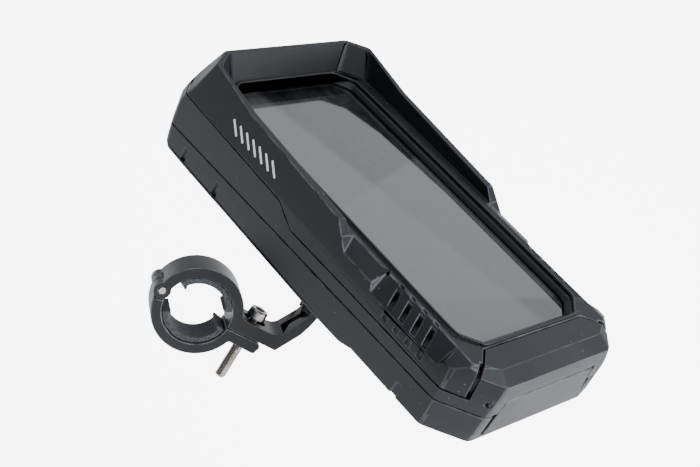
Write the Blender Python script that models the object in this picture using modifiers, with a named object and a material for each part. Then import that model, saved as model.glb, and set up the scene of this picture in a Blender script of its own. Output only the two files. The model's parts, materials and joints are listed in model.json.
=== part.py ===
"""A handlebar phone mount: a hooded waterproof case on a ball joint, an arm and a hinged tube clamp.

All lengths below are in millimetres and all angles in degrees; the mesh helpers turn them into
metres. The world origin is the centre of the clamp ring. The case's own frame has its origin at the
centre of the window: X across the case, Y towards the hood end, Z out of the window. The clamp's own
frame has X along the tube, Y towards the case and Z up.
"""

from math import acos, atan2, cos, degrees, pi, radians, sin, sqrt

import bmesh
import bpy
from mathutils import Euler, Matrix, Vector

MM = 0.001
GAP = 0.3  # clearance between neighbouring pieces

# ---- driving dimensions: the case ---------------------------------------------------------------
CASE_AT = (62.3, -31.3, 72.6)  # centre of the window, seen from the clamp ring's centre
HALF_WIDTH, TOP_Y, BOTTOM_Y = 50.5, 103.0, -103.0
WALL = 2.5
WINDOW_X, WINDOW_TOP, WINDOW_BOTTOM = 34.6, 84.0, -80.0
LEDGE_Z = 3.7  # the bezel beside the window
RIM_LOW_Z, RIM_HIGH_Z = 8.5, 17.0  # the hood's edge at the wing ends and over the top
PART_Z, PART_SLOPE = -19.2, -0.0373  # the plane where the case opens
PART_GAP = 0.8
BACK_Z, BACK_LOW_Z = -35.5, -29.4
FLOOR_T = 2.4

# ---- driving dimensions: hinge and latch of the lid ------------------------------------------------
HINGE_Y, KNUCKLE_R, PIN_R = 103.6, 2.0, 0.9
LATCH_Y, LATCH_Z, LATCH_R = -101.2, -9.0, 1.8
LATCH_HALF_TOP, LATCH_HALF_MID, LATCH_HALF_LOW = 28.0, 29.3, 31.0
LATCH_MID_Z, LATCH_LOW_Z = -17.0, -27.0

# ---- driving dimensions: inside the case -----------------------------------------------------------
TRAY_Z, TRAY_T = -19.0, 2.0
PAD_T = 5.0
POST_X, POST_Y, POST_R = 40.0, 78.0, 3.4

# ---- driving dimensions: vents and marks -----------------------------------------------------------
VENT_Y, VENT_PITCH, VENT_W, VENT_COUNT, VENT_SKEW = -45.6, -7.17, 2.5, 4, -0.56
CREST_X = 42.0  # the bezel is highest here, and slopes off on both sides

# ---- driving dimensions: ball joint ------------------------------------------------------------------
BALL_R, NECK_R, LINER_T = 8.5, 3.5, 1.2
COLLET_R, FLANGE_R, SWIVEL_R = 13.0, 19.0, 9.7
MOUTH = 125.0  # polar angle where the cups end, from the top of the ball
BALL_AT = (0.0, 60.5, 11.2)  # in the clamp's frame
STUD_ANGLE, STUD_LENGTH = 66.0, 13.5

# ---- driving dimensions: clamp -----------------------------------------------------------------------
CLAMP_TURN = (18.92, -18.91, -124.76)  # Euler turn of the clamp's frame in the world
RING_R, BORE_R, WIDTH = 20.4, 15.6, 16.0
SHIM_R = 12.7
EAR_ANGLE, JAW_T = -32.3, 5.6
CLAMP_PIN = (-14.7, 11.1)
CLAMP_KNUCKLE_R, CLAMP_PIN_R = 3.9, 1.6
SCREW_S, SCREW_R, HEAD_R, HEAD_H, SCREW_L = 26.85, 2.5, 4.25, 4.4, 32.0
HEAD_LIFT = 1.0


# ---- scene and mesh helpers --------------------------------------------------------------------------
def clear_scene():
    for obj in list(bpy.data.objects):
        bpy.data.objects.remove(obj, do_unlink=True)


def new_collection(name):
    collection = bpy.data.collections.new(name)
    bpy.context.scene.collection.children.link(collection)
    return collection


clear_scene()
PARTS = new_collection("phone_mount")
WORKSHOP = new_collection("workshop")
WORKSHOP.hide_render = True


def material(name, colour, roughness, metallic=0.0):
    made = bpy.data.materials.get(name) or bpy.data.materials.new(name)
    made.use_nodes = True
    shader = made.node_tree.nodes["Principled BSDF"]
    shader.inputs["Base Color"].default_value = (*colour, 1.0)
    shader.inputs["Roughness"].default_value = roughness
    shader.inputs["Metallic"].default_value = metallic
    return made


def from_bmesh(bm, name):
    mesh = bpy.data.meshes.new(name)
    bmesh.ops.recalc_face_normals(bm, faces=bm.faces)
    bm.to_mesh(mesh)
    bm.free()
    obj = bpy.data.objects.new(name, mesh)
    WORKSHOP.objects.link(obj)
    return obj


def bake(obj):
    """Replaces an object's mesh by its evaluated mesh, and drops its modifiers."""
    bpy.context.view_layer.update()
    evaluated = obj.evaluated_get(bpy.context.evaluated_depsgraph_get())
    mesh = bpy.data.meshes.new_from_object(evaluated)
    obj.modifiers.clear()
    obj.data = mesh
    return obj


def boolean(target, tool, operation):
    modifier = target.modifiers.new(operation.lower(), "BOOLEAN")
    modifier.operation = operation
    modifier.solver = "EXACT"
    modifier.object = tool
    bake(target)
    bpy.data.objects.remove(tool, do_unlink=True)
    return target


def cut(target, *tools):
    for tool in tools:
        boolean(target, tool, "DIFFERENCE")
    return target


def join(target, *tools):
    for tool in tools:
        boolean(target, tool, "UNION")
    return target


def common(target, *tools):
    for tool in tools:
        boolean(target, tool, "INTERSECT")
    return target


def prism(outline, low, high, axis="X"):
    """A flat outline carried from low to high along X, Y or Z.

    The outline is (y, z) for axis X, (x, z) for axis Y and (x, y) for axis Z.
    """
    curve = bpy.data.curves.new("outline", "CURVE")
    curve.dimensions = "2D"
    curve.fill_mode = "BOTH"
    curve.extrude = (high - low) / 2 * MM
    spline = curve.splines.new("POLY")
    spline.points.add(len(outline) - 1)
    for point, (a, b) in zip(spline.points, outline):
        point.co = (a * MM, b * MM, 0.0, 1.0)
    spline.use_cyclic_u = True
    flat = bpy.data.objects.new("outline", curve)
    WORKSHOP.objects.link(flat)
    bpy.context.view_layer.update()
    evaluated = flat.evaluated_get(bpy.context.evaluated_depsgraph_get())
    mesh = bpy.data.meshes.new_from_object(evaluated)
    bpy.data.objects.remove(flat, do_unlink=True)
    bm = bmesh.new()
    bm.from_mesh(mesh)
    bmesh.ops.remove_doubles(bm, verts=bm.verts, dist=1e-7)
    middle = (low + high) / 2 * MM
    turned = {
        "X": Matrix(((0, 0, 1, middle), (1, 0, 0, 0), (0, 1, 0, 0), (0, 0, 0, 1))),
        "Y": Matrix(((1, 0, 0, 0), (0, 0, 1, middle), (0, 1, 0, 0), (0, 0, 0, 1))),
        "Z": Matrix.Translation((0, 0, middle)),
    }[axis]
    bmesh.ops.transform(bm, matrix=turned, verts=bm.verts)
    return from_bmesh(bm, "prism")


def box(low, high):
    bm = bmesh.new()
    bmesh.ops.create_cube(bm, size=1.0)
    size = [(b - a) * MM for a, b in zip(low, high)]
    middle = [(a + b) / 2 * MM for a, b in zip(low, high)]
    bmesh.ops.scale(bm, vec=size, verts=bm.verts)
    bmesh.ops.translate(bm, vec=middle, verts=bm.verts)
    return from_bmesh(bm, "box")


def cylinder(start, end, radius, sides=32, end_radius=None):
    """A cylinder, or a cone, from one point to another."""
    start, end = Vector(start) * MM, Vector(end) * MM
    bm = bmesh.new()
    bmesh.ops.create_cone(
        bm,
        cap_ends=True,
        segments=sides,
        radius1=radius * MM,
        radius2=(radius if end_radius is None else end_radius) * MM,
        depth=(end - start).length,
    )
    turn = Vector((0, 0, 1)).rotation_difference(end - start).to_matrix().to_4x4()
    bmesh.ops.transform(bm, matrix=Matrix.Translation((start + end) / 2) @ turn, verts=bm.verts)
    return from_bmesh(bm, "cylinder")


def loft(rings):
    """A closed skin over rings of equally many points, with a flat cap at each end."""
    bm = bmesh.new()
    loops = [[bm.verts.new(Vector(p) * MM) for p in ring] for ring in rings]
    count = len(rings[0])
    for lower, upper in zip(loops, loops[1:]):
        for i in range(count):
            j = (i + 1) % count
            bm.faces.new((lower[i], lower[j], upper[j], upper[i]))
    bm.faces.new(loops[0])
    bm.faces.new(loops[-1])
    return from_bmesh(bm, "loft")


def turned(profile, centre, sides=48):
    """A closed (radius, height) profile turned about the vertical line through centre."""
    mesh = bpy.data.meshes.new("profile")
    points = [(r * MM, 0, z * MM) for r, z in profile]
    edges = [(i, (i + 1) % len(points)) for i in range(len(points))]
    mesh.from_pydata(points, edges, [])
    obj = bpy.data.objects.new("turned", mesh)
    WORKSHOP.objects.link(obj)
    screw = obj.modifiers.new("turn", "SCREW")
    screw.axis = "Z"
    screw.steps = screw.render_steps = sides
    screw.use_merge_vertices = True
    screw.merge_threshold = 1e-5
    bake(obj)
    bm = bmesh.new()
    bm.from_mesh(obj.data)
    bmesh.ops.remove_doubles(bm, verts=bm.verts, dist=1e-6)
    bmesh.ops.dissolve_degenerate(bm, edges=bm.edges, dist=1e-7)
    bmesh.ops.translate(bm, vec=Vector(centre) * MM, verts=bm.verts)
    bpy.data.objects.remove(obj, do_unlink=True)
    return from_bmesh(bm, "turned")


def arc(centre, radius, start, end, steps):
    """Points on an arc from the start angle to the end angle."""
    angles = [radians(start + (end - start) * i / steps) for i in range(steps + 1)]
    return [(centre[0] + radius * cos(a), centre[1] + radius * sin(a)) for a in angles]


def rounded(corners, radius, steps=2):
    """An outline with each corner rounded, by as much as the sides beside it allow."""
    points = []
    count = len(corners)
    for i, corner in enumerate(corners):
        before, here, after = (Vector(corners[(i + k) % count]) for k in (-1, 0, 1))
        a, b = (before - here), (after - here)
        half = acos(max(-1.0, min(1.0, a.normalized().dot(b.normalized())))) / 2
        reach = min(radius / max(sin(half) / cos(half), 1e-6), a.length * 0.45, b.length * 0.45)
        start, end = here + a.normalized() * reach, here + b.normalized() * reach
        for k in range(steps + 1):
            t = k / steps
            points.append(tuple((1 - t) ** 2 * start + 2 * t * (1 - t) * here + t * t * end))
    return points


# ---- frames, empties and finished pieces --------------------------------------------------------------
CASE = Matrix.Translation(Vector(CASE_AT) * MM)
CLAMP = Euler([radians(a) for a in CLAMP_TURN], "XYZ").to_matrix().to_4x4()
BALL_IN_CASE = (CASE.inverted() @ CLAMP @ (Vector(BALL_AT) * MM)) / MM


def empty(name, matrix, parent=None):
    made = bpy.data.objects.new(name, None)
    PARTS.objects.link(made)
    made.matrix_world = matrix
    if parent is not None:
        made.parent = parent
        made.matrix_parent_inverse = parent.matrix_world.inverted()
        made.matrix_world = matrix
    bpy.context.view_layer.update()
    return made


def piece(obj, name, finish, frame, parent):
    """Names a finished piece, gives it its finish and hangs it on the empty of its joint."""
    WORKSHOP.objects.unlink(obj)
    PARTS.objects.link(obj)
    obj.name = obj.data.name = name
    obj.data.materials.clear()
    obj.data.materials.append(finish)
    obj.data.set_sharp_from_angle(angle=radians(30))
    obj.matrix_world = frame
    obj.parent = parent
    obj.matrix_parent_inverse = parent.matrix_world.inverted()
    obj.matrix_world = frame
    return obj


def at(frame, *point):
    return frame @ Matrix.Translation(Vector(point) * MM)


def part_z(y):
    """Height of the plane where the case opens."""
    return PART_Z + PART_SLOPE * y


CLAMP_AXIS = empty("clamp_frame", CLAMP)
JAW_AXIS = empty("jaw_hinge_axis", at(CLAMP, 0, *CLAMP_PIN), CLAMP_AXIS)
EAR = Vector((cos(radians(EAR_ANGLE)), sin(radians(EAR_ANGLE))))
EAR_UP = Vector((-EAR.y, EAR.x))
SCREW_AXIS = empty("screw_axis", at(CLAMP, 0, *(EAR * SCREW_S)), JAW_AXIS)
PITCH_AXIS = empty("ball_pitch_axis", at(CLAMP, *BALL_AT), CLAMP_AXIS)
ROLL_AXIS = empty("ball_roll_axis", at(CASE, *BALL_IN_CASE), PITCH_AXIS)
LOCK_AXIS = empty("lock_ring_axis", at(CASE, *BALL_IN_CASE), ROLL_AXIS)
SWIVEL_AXIS = empty("case_swivel_axis", at(CASE, *BALL_IN_CASE), ROLL_AXIS)
LID_AXIS = empty("lid_hinge_axis", at(CASE, 0, HINGE_Y, part_z(HINGE_Y)), SWIVEL_AXIS)
LATCH_AXIS = empty("latch_hinge_axis", at(CASE, 0, LATCH_Y, LATCH_Z), LID_AXIS)

SHELL = material("case_shell", (0.045, 0.046, 0.050), 0.48)
HOOD = material("hood_shell", (0.042, 0.043, 0.047), 0.45)
FILM = material("window_film", (0.42, 0.43, 0.44), 0.08)
RUBBER = material("rubber", (0.07, 0.075, 0.08), 0.75)
FOAM = material("foam", (0.05, 0.05, 0.052), 0.95)
BLACK_METAL = material("black_metal", (0.05, 0.052, 0.056), 0.38, 0.6)
STEEL = material("steel", (0.60, 0.58, 0.55), 0.28, 1.0)
NYLON = material("nylon", (0.10, 0.10, 0.11), 0.55)


# ---- the case's outer form, shared by the rear shell, the lid frame and the hood -------------------------
# Each level: height, half width, end of the side wall and half width at the hood end, its Y, and the
# same three at the latch end.
LEVELS = (
    (-36.0, 49.4, 94.0, 43.0, 102.0, -85.0, 35.4, -100.9),
    (-33.0, 50.4, 95.2, 43.8, 102.8, -86.2, 36.2, -101.6),
    (-24.0, 50.5, 96.0, 44.2, 103.0, -86.6, 36.6, -102.6),
    (-9.6, 50.5, 96.0, 44.2, 103.0, -86.6, 36.0, -103.0),
    (-5.0, 50.5, 94.0, 42.0, 102.8, -86.2, 35.0, -103.0),
    (0.4, 49.65, 91.2, 40.2, 101.4, -85.4, 33.4, -102.5),
    (3.9, 49.1, 90.0, 39.4, 100.0, -84.2, 31.9, -95.7),
    (17.0, 47.05, 86.2, 37.0, 94.0, -79.7, 27.9, -85.7),
    (22.0, 46.3, 84.8, 36.2, 91.6, -78.0, 26.4, -83.7),
)


def level_ring(level, inset=0.0, radius=4.0, steps=2, z=None):
    """The case's outline at one level, moved in by an inset, with rounded corners."""
    height, half, side_top, top_x, top, side_low, low_x, low = level
    diagonal = inset * 0.45
    half, top, low = half - inset, top - inset, low + inset
    side_top, side_low = side_top - diagonal, side_low + diagonal
    top_x, low_x = top_x - diagonal, low_x - diagonal
    right = [(low_x, low), (half, side_low), (half, side_top), (top_x, top)]
    left = [(-x, y) for x, y in reversed(right)]
    height = height if z is None else z
    return [(x, y, height) for x, y in rounded(right + left, radius, steps)]


def outer_form():
    return loft([level_ring(level) for level in LEVELS])


def inner_form(inset, low, high, level=LEVELS[3]):
    """A straight-sided block inside the case's outline."""
    return loft([level_ring(level, inset, 2.0, 1, z) for z in (low, high)])


FAR = 130.0  # past every edge of the case
GROOVE = ((FAR, -4.6), (96.0, -5.0), (21.7, -6.4), (9.7, -13.0), (-50.0, -10.8), (-FAR, -9.2))
BACK = ((FAR, BACK_Z), (-12.0, BACK_Z), (-35.0, -34.2), (-43.0, -31.4), (-FAR, BACK_LOW_Z))
RIM = (
    (FAR, RIM_HIGH_Z),
    (86.0, RIM_HIGH_Z),
    (57.0, 12.0),
    (-8.5, RIM_LOW_Z),
    (-14.2, LEDGE_Z),
    (-FAR, LEDGE_Z),
)


def shifted(line, dz):
    return [(y, z + dz) for y, z in line]


def between(lower, upper):
    """A prism across the case between two lines given from the hood end to the latch end."""
    return prism(list(lower) + list(reversed(upper)), -60, 60)


def parting(dz):
    return [(FAR, part_z(FAR) + dz), (-FAR, part_z(-FAR) + dz)]


def bar_region(inset, low, high):
    """Plan of the bar under the window, which belongs to the lid frame."""
    start, far = 31.0 - inset, 55.0
    edge = -84.8 - inset * 0.7
    slope = 0.93
    corner = edge - slope * (far - start)
    outline = [(start, edge), (far, corner), (far, -110), (-far, -110), (-far, corner), (-start, edge)]
    return prism(outline, low, high, "Z")


def side_slope(side):
    """What is cut away outside the crest of the bezel, from the end of the wing to the latch end."""
    slope = [
        (CREST_X * side, LEDGE_Z),
        ((HALF_WIDTH - 0.8) * side, -0.2),
        ((HALF_WIDTH + 8.0) * side, -4.66),
        ((HALF_WIDTH + 8.0) * side, 12.0),
        (CREST_X * side, 12.0),
    ]
    wing_end = [(-2.02, 13.97), (-28.02, -7.9), (20.0, -7.9), (20.0, 13.97)]
    return cut(prism(slope, -FAR, 0, "Y"), prism(wing_end, -70, 70))


def pocket(side):
    """The deeper slope in which the vents lie."""
    far_x = (HALF_WIDTH + 8.0) * side

    def section(z_in, z_out, y):
        return [
            (CREST_X * side, y, z_in), (far_x, y, z_out), (far_x, y, 14.0), (CREST_X * side, y, 14.0)
        ]

    level, steep = (LEDGE_Z + 0.2, -4.4), (LEDGE_Z + 0.05, -11.1)
    return loft([
        section(*level, -36.5), section(*steep, -41.0), section(*steep, -80.0), section(*level, -84.5)
    ])


def vent(side, index):
    """One slot beside the window: a notch on the crest, the long slot and a pad recess on the side."""
    y = VENT_Y + index * VENT_PITCH

    def bar(near, far, low, high):
        outline = [
            (near * side, y + VENT_SKEW * (near - CREST_X) + VENT_W / 2),
            (near * side, y + VENT_SKEW * (near - CREST_X) - VENT_W / 2),
            (far * side, y + VENT_SKEW * (far - CREST_X) - VENT_W / 2),
            (far * side, y + VENT_SKEW * (far - CREST_X) + VENT_W / 2),
        ]
        return prism(outline, low, high, "Z")

    return [bar(41.0, 42.4, 2.4, 8.0), bar(43.6, 49.2, -5.0, 8.0), bar(49.6, 54.0, -7.8, -4.2)]


def under_skin(drop, inset):
    """The room under the hood's skin, which the lid frame fills to within a gap."""
    top = [
        (-60, -40), (60, -40), (60, -7.1 - drop), (40, -0.8 - drop), (-40, -0.8 - drop),
        (-60, -7.1 - drop),
    ]
    return common(inner_form(inset, -45, 5), prism(top, -FAR, FAR, "Y"))


def hood_bezel():
    """The hood with its two wings and the bezel beside the window, laid over the lid frame."""
    hood = common(outer_form(), between(shifted(GROOVE, 0.25), RIM))
    cut(hood, side_slope(1), side_slope(-1))
    well = []
    for z, half, top, corner_x, corner_y in (
        (LEDGE_Z - 0.1, 43.9, 87.6, 33.0, 77.5),
        (RIM_HIGH_Z + 1, 45.2, 92.3, 36.2, 84.8),
    ):
        outline = [(half, -FAR), (half, corner_y), (corner_x, top)]
        outline += [(-x, y) for x, y in reversed(outline)]
        well.append([(x, y, z) for x, y in rounded(outline, 5.0, 3)])
    cut(hood, loft(well))
    cut(hood, *window_cuts())
    cut(hood, under_skin(0.0, WALL), film_space(0.4, -20, 0.5))
    cut(hood, bar_region(-0.35, -60, 60))
    for side in (1, -1):
        cut(hood, corner_slot(side), pocket(side))
        for index in range(VENT_COUNT):
            cut(hood, *vent(side, index))
    for x, y in COVER_SCREWS:
        cut(hood, cylinder((x, y, -4), (x, y, 2.3), 1.1 + GAP, 12))
    return hood


def corner_slot(side):
    """The open slot at the corner, between the hood and the bar under the window."""
    outline = [(38.3 * side, -89.4), (50.0 * side, -100.4), (48.0 * side, -102.6), (36.3 * side, -91.6)]
    return prism(outline, -20, 20, "Z")


COVER_SCREWS = [(side * 41.5, y) for side in (1, -1) for y in (-30.0, 20.0, 70.0)]


def window_outline(grow):
    half, top, low, corner = WINDOW_X + grow, WINDOW_TOP + grow, WINDOW_BOTTOM - grow, 7.0
    right = [(half - corner, low), (half, low + corner), (half, top - corner), (half - corner, top)]
    return right + [(-x, y) for x, y in reversed(right)]


def window_cuts():
    """The window's hole with its steep edge, and the gentle slope that leads down to it."""
    hole = []
    for z, extra in ((-6.0, 0.0), (0.8, 0.0), (LEDGE_Z + 0.3, 2.4)):
        outline = rounded(window_outline(extra), 4.0, 2)
        hole.append([(x, y, z) for x, y in outline])
    slope = []
    for z, grow_x, grow_top, grow_low in ((2.3, 0.0, 0.6, -0.6), (LEDGE_Z + 0.2, 8.2, 3.4, 5.0)):
        outline = rounded(window_outline(0.0), 4.0, 2)
        wider = (WINDOW_X + grow_x) / WINDOW_X
        slope.append([(x * wider, y + (grow_top if y > 0 else -grow_low), z) for x, y in outline])
    return loft(hole), loft(slope)


def film_space(extra, low, high):
    return prism(rounded(window_outline(2.6 + extra), 3.0, 1), low, high, "Z")


def lid_frame():
    """The frame between the hood and the rear shell, with the bar under the window."""
    bar_top = [(FAR, 3.5), (-84.0, 3.5), (-FAR, 4.6)]
    region = between(parting(-4.0), shifted(GROOVE, -0.25))
    join(region, common(between(parting(-2.0), bar_top), bar_region(0.3, -55, 55)))
    frame = common(outer_form(), region)
    join(frame, common(under_skin(0.4, WALL + GAP), between(parting(-3.0), [(FAR, 30), (-FAR, 30)])))
    common(frame, between(parting(PART_GAP / 2 - 0.1), [(FAR, 40), (-FAR, 40)]))
    hollow = inner_form(2 * WALL + GAP, -40, -3.4)
    cut(hollow, box((-60, -120, -60), (60, -96.5, 60)))
    cut(frame, hollow, prism(rounded(window_outline(0.9), 3.0, 1), -20, 20, "Z"))
    for x, y in COVER_SCREWS:
        cut(frame, cylinder((x, y, -8), (x, y, 3), 1.1 + GAP, 12))
    cut(frame, latch_pocket())
    join(frame, *lid_knuckles())
    notch = box((-12.2, 101.1, -30), (12.2, 110, part_z(HINGE_Y) + 2.5))
    cut(frame, notch, hinge_bore(), latch_bore())
    return frame


def hinge_bore():
    z = part_z(HINGE_Y)
    return cylinder((-40, HINGE_Y, z), (40, HINGE_Y, z), PIN_R + GAP, 16)


def latch_bore():
    return cylinder((-60, LATCH_Y, LATCH_Z), (60, LATCH_Y, LATCH_Z), PIN_R + GAP, 12)


def knuckle(low, high, rise):
    """A hinge knuckle with the web that joins it to its wall, above the pin or below it."""
    z = part_z(HINGE_Y)
    turn = -180 if rise > 0 else 180
    outline = arc((HINGE_Y, z), KNUCKLE_R, 0, turn, 12)
    outline += [
        (TOP_Y - 1.15, z + rise * 0.3),
        (TOP_Y - 1.15, z + rise * 1.05),
        (TOP_Y - 0.65, z + rise * 1.05),
        (HINGE_Y + KNUCKLE_R, z + rise * 0.42),
    ]
    return prism(outline, low, high)


def lid_knuckles():
    return [knuckle(12.5, 28.0, 6.0), knuckle(-28.0, -12.5, 6.0)]


def latch_outline(grow, more=0.0):
    """The flap's outline on the end wall, grown by a gap all round."""
    top, middle, low = LATCH_HALF_TOP + grow, LATCH_HALF_MID + grow, LATCH_HALF_LOW + grow
    top_z = LATCH_Z + LATCH_R + grow + more
    shoulder = LATCH_Z - 2.8
    right = [(low, LATCH_LOW_Z - grow - more), (middle, LATCH_MID_Z), (top, shoulder), (top, top_z)]
    return right + [(-x, z) for x, z in reversed(right)]


def latch_pocket():
    """Room in the lid for the flap and for the barrel that it turns on."""
    room = prism(latch_outline(GAP), -FAR, -99.5, "Y")
    reach = LATCH_HALF_TOP + GAP
    bore = cylinder((-reach, LATCH_Y, LATCH_Z), (reach, LATCH_Y, LATCH_Z), LATCH_R + GAP, 32)
    return join(room, bore)


def latch_recess():
    """Room in the rear shell for the flap, straight-sided so that the flap lifts out of it."""
    half = LATCH_HALF_LOW + GAP
    return box((-half, -FAR, LATCH_LOW_Z - GAP), (half, -99.5, 0))


def latch_flap():
    """The flap that holds the lid shut, with its barrel along the top edge."""
    section = arc((LATCH_Y, LATCH_Z), LATCH_R, 180, 0, 14)
    section += [(-100.0, LATCH_Z - 2.4), (-100.0, LATCH_LOW_Z), (BOTTOM_Y, LATCH_LOW_Z)]
    flap = prism(section, -60, 60)
    common(flap, prism(latch_outline(0.0, 1.0), -FAR, -90, "Y"))
    cut(flap, latch_bore())
    return cut(flap, box((-18, -101.2, -24.5), (18, -90, -13.5)))


def rear_shell():
    """The tray-shaped rear half of the case."""
    shell = common(outer_form(), between(BACK, parting(-PART_GAP / 2)))
    hollow = inner_form(WALL, -40, 10)
    cut(hollow, box((-60, -120, -60), (60, -96.5, 60)))
    common(hollow, between(shifted(BACK, FLOOR_T), [(FAR, 30), (-FAR, 30)]))
    cut(shell, hollow)
    rabbet = inner_form(1.3, -40, 10)
    common(rabbet, between(parting(-2.4), parting(20)))
    cut(shell, rabbet)
    bx, by, _ = BALL_IN_CASE
    join(shell, cylinder((bx, by, BACK_Z + 1), (bx, by, -31.8), 14.5, 40))
    for x in (POST_X, -POST_X):
        for y in (POST_Y, -POST_Y):
            foot = back_z(y) + 1
            join(shell, cylinder((x, y, foot), (x, y, TRAY_Z - TRAY_T - GAP), POST_R, 20))
            cut(shell, cylinder((x, y, TRAY_Z - TRAY_T - 5), (x, y, TRAY_Z), 1.1 + GAP, 12))
    cut(shell, cylinder((bx, by, -60), (bx, by, -20), SWIVEL_R + GAP, 48))
    for side in (1, -1):
        for y, top in ((81.0, -26.6), (56.0, -25.9), (-70.5, -24.0)):
            low, high = sorted(((HALF_WIDTH - 0.9) * side, (HALF_WIDTH + 2.0) * side))
            recess = [(y + 1.5, top), (y - 1.5, top), (y + 0.2, -40), (y + 3.2, -40)]
            cut(shell, prism(recess, low, high))
        for y in (50.0, -40.0, -68.5):
            scallop = loft([
                [(edge_x, y + half, z) for edge_x, z in
                 ((HALF_WIDTH * side + 3 * side, -40.0), (HALF_WIDTH * side + 3 * side, back_z(y) + 3.2),
                  (HALF_WIDTH * side - 3.0 * side, -40.0))]
                for half in (-4.0, 4.0)
            ])
            cut(shell, scallop)
    cut(shell, latch_recess())
    join(shell, knuckle(-11.7, 11.7, -6.0))
    z = part_z(HINGE_Y)
    for low, high in ((12.0, 28.5), (-28.5, -12.0)):
        cut(shell, box((low, 101.1, z - 2.5), (high, 110, 10)))
    cut(shell, hinge_bore())
    return shell


def back_z(y):
    """Height of the back at a place along the case."""
    for (y1, z1), (y0, z0) in zip(BACK, BACK[1:]):
        if y0 <= y <= y1:
            return z0 + (z1 - z0) * (y - y0) / (y1 - y0)
    return BACK_Z


def lid_gasket():
    seat = (0.0, 50.5, 96.0, 44.2, 103.0, -84.6, 35.4, -100.4)  # passes behind the latch flap
    ring = inner_form(1.6, -40, 10, seat)
    cut(ring, inner_form(2.9, -50, 20, seat))
    return common(ring, between(parting(-2.1), parting(PART_GAP / 2 - 0.4)))


def film_seal():
    ring = film_space(-0.2, -0.0, 0.25)
    return cut(ring, prism(rounded(window_outline(0.3), 4.0, 1), -5, 5, "Z"))


def phone_tray():
    """The plate that the phone's foam lies on, above the swivel."""
    tray = inner_form(2 * WALL + 1.2, TRAY_Z - TRAY_T, TRAY_Z, LEVELS[2])
    cut(tray, box((-60, -120, -60), (60, -96.0, 60)))
    for x in (POST_X, -POST_X):
        for y in (POST_Y, -POST_Y):
            cut(tray, cylinder((x, y, TRAY_Z - 5), (x, y, TRAY_Z + 5), 1.1 + GAP, 12))
    return tray


def pan_screw(x, y, head_bottom, length, sides=20):
    """A small pan-head screw that points down."""
    head = cylinder((x, y, head_bottom), (x, y, head_bottom + 1.4), 2.1, sides, 1.7)
    return join(head, cylinder((x, y, head_bottom + 0.7), (x, y, head_bottom - length), 1.1, 12))


def cover_screw(x, y):
    """A small screw that points up, from the lid frame into the hood."""
    head = cylinder((x, y, -5.1), (x, y, -3.7), 1.7, 20, 2.1)
    return join(head, cylinder((x, y, -4.4), (x, y, 2.0), 1.1, 12))


# ---- ball joint --------------------------------------------------------------------------------------
def cup_profile(inner, outer, mouth):
    """The section of a spherical cup, from its pole to its mouth."""
    steps = 14
    angles = [radians(mouth) * i / steps for i in range(steps + 1)]
    outside = [(outer * sin(a), outer * cos(a)) for a in angles]
    inside = [(inner * sin(a), inner * cos(a)) for a in reversed(angles)]
    return outside + inside


def ball_stud():
    """The ball with its neck, its seat and the shank that goes into the arm."""
    steps = 16
    start = pi - atan2(NECK_R, sqrt(BALL_R**2 - NECK_R**2))
    ball = [(BALL_R * sin(start * i / steps), BALL_R * cos(start * i / steps)) for i in range(steps + 1)]
    foot = -STUD_LENGTH + GAP
    profile = ball + [(NECK_R, foot + 2.4), (5.4, foot + 2.4), (5.4, foot), (2.5, foot)]
    profile += [(2.5, foot - 7.0), (0.0, foot - 7.0)]
    stud = turned(profile, (0, 0, 0), 40)
    lean = Matrix.Rotation(radians(STUD_ANGLE - 90), 4, "X")
    stud.data.transform(Matrix.Translation(Vector(BALL_AT) * MM) @ lean)
    return stud


def ball_liner():
    return turned(cup_profile(BALL_R + GAP, BALL_R + GAP + LINER_T, MOUTH), BALL_IN_CASE, 40)


def socket():
    """The collet round the ball, with the flange and the neck that the case turns on."""
    inner = BALL_R + 2 * GAP + LINER_T
    steps = 14
    angles = [radians(MOUTH) * i / steps for i in range(steps + 1)]
    inside = [(inner * sin(a), inner * cos(a)) for a in reversed(angles)]
    mouth_z = inner * cos(radians(MOUTH))
    outside = [
        (0.0, 12.2),
        (SWIVEL_R, 12.2),
        (SWIVEL_R, 8.2),
        (FLANGE_R - 0.8, 8.2),
        (FLANGE_R, 7.4),
        (FLANGE_R, 5.7),
        (COLLET_R, 5.7),
        (COLLET_R, mouth_z),
    ]
    collet = turned(outside + inside, BALL_IN_CASE, 48)
    bx, by, bz = BALL_IN_CASE
    cut(collet, box((bx - 20, by - 0.8, bz - 20), (bx + 20, by + 0.8, bz + 1.5)))
    cut(collet, box((bx - 0.8, by - 20, bz - 20), (bx + 0.8, by + 20, bz + 1.5)))
    for x, y in retainer_places():
        cut(collet, cylinder((x, y, bz + 9.0), (x, y, bz + 20), 1.1 + GAP, 12))
    return collet


def retainer_places():
    bx, by, _ = BALL_IN_CASE
    return [(bx + 7.3 * cos(a), by + 7.3 * sin(a)) for a in (pi / 2, pi * 7 / 6, pi * 11 / 6)]


def swivel_retainer():
    bx, by, bz = BALL_IN_CASE
    disc = cylinder((bx, by, bz + 12.5), (bx, by, bz + 14.5), 14.8, 40)
    for x, y in retainer_places():
        cut(disc, cylinder((x, y, bz + 10), (x, y, bz + 20), 1.1 + GAP, 12))
    return disc


def locking_ring():
    """The knurled nut that squeezes the collet on the ball."""
    bx, by, bz = BALL_IN_CASE
    flutes = 20
    outline = []
    for i in range(flutes):
        for share, radius in ((0.0, 16.0), (0.45, 16.0), (0.6, 15.2), (0.85, 15.2)):
            a = 2 * pi * (i + share) / flutes
            outline.append((bx + radius * cos(a), by + radius * sin(a)))
    ring = prism(outline, bz - 6.9, bz + 5.0, "Z")
    cut(ring, cylinder((bx, by, bz - 6.2), (bx, by, bz + 20), COLLET_R + GAP, 48))
    return cut(ring, cylinder((bx, by, bz - 20), (bx, by, bz + 20), 10.8, 48))


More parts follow.
